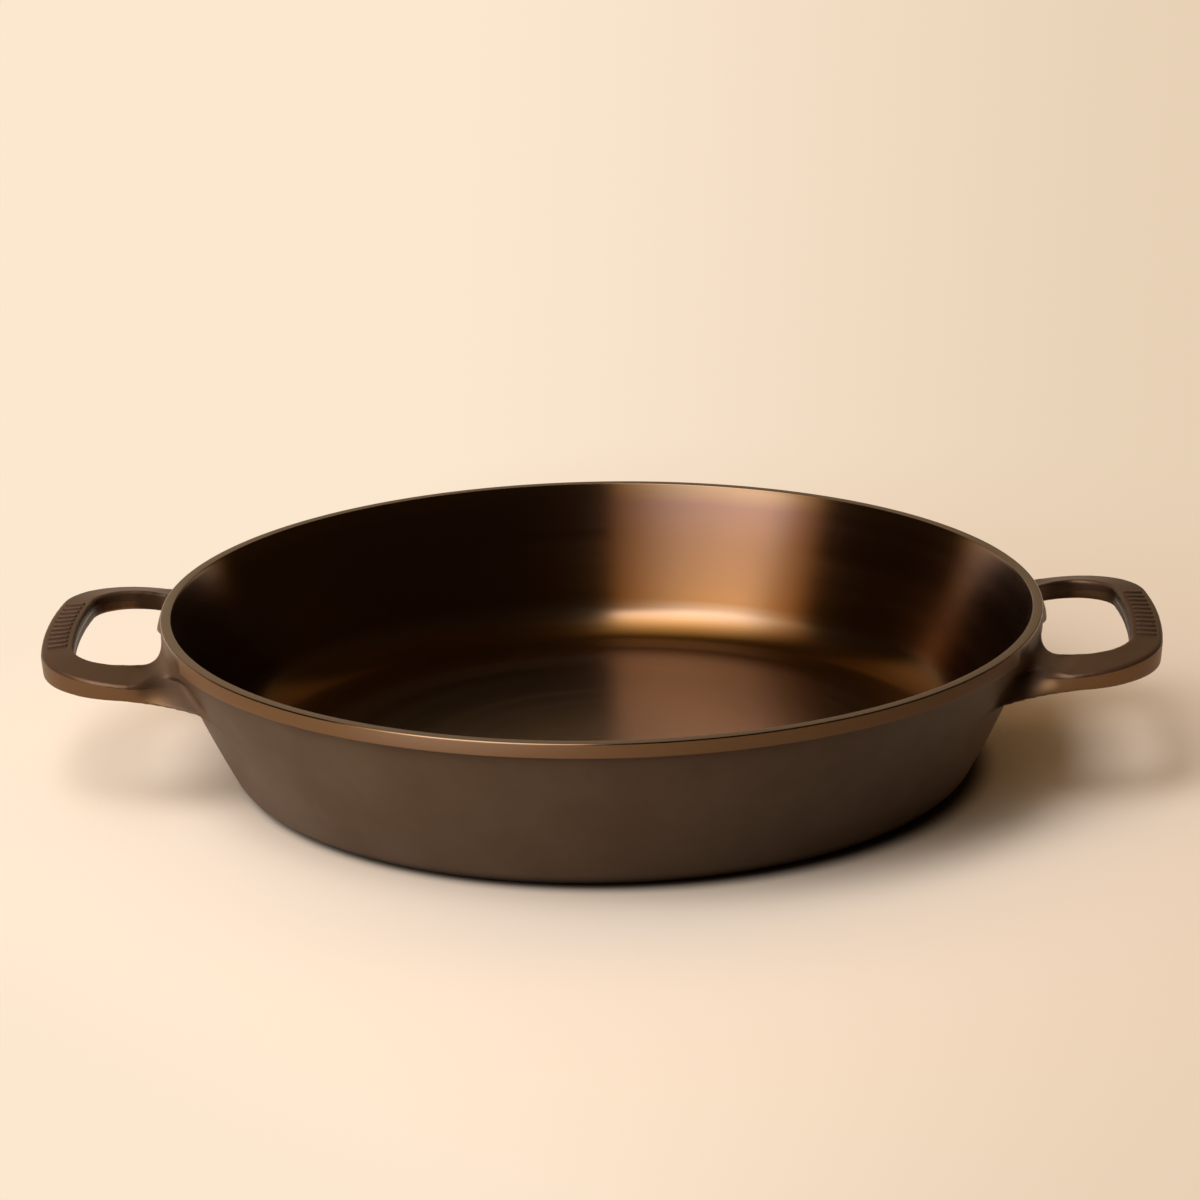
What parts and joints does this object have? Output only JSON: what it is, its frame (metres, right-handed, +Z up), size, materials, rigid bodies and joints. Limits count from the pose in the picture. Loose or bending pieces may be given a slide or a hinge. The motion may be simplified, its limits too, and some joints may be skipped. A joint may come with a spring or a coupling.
{
  "type": "dual handle skillet",
  "caption": "Wide, shallow round skillet with a flared wall, a flat rim over a machined band, and a rounded loop handle on each side.",
  "frame": {"origin": "under the middle of the base, on the plane that the pan rests on", "axes": "+X out through the right handle, +Y to the back, +Z up through the rim"},
  "size_m": [0.4508, 0.3588, 0.068],
  "materials": {
    "bowl_iron": "seasoned and polished to a bronze brown inside and on the rim, satin as cast outside",
    "handle_iron": "seasoned bronze brown, satin as cast"
  },
  "bodies": {
    "root": {"pan_body": "bowl_iron", "handle_right": "handle_iron", "handle_left": "handle_iron"}
  },
  "joints": []
}
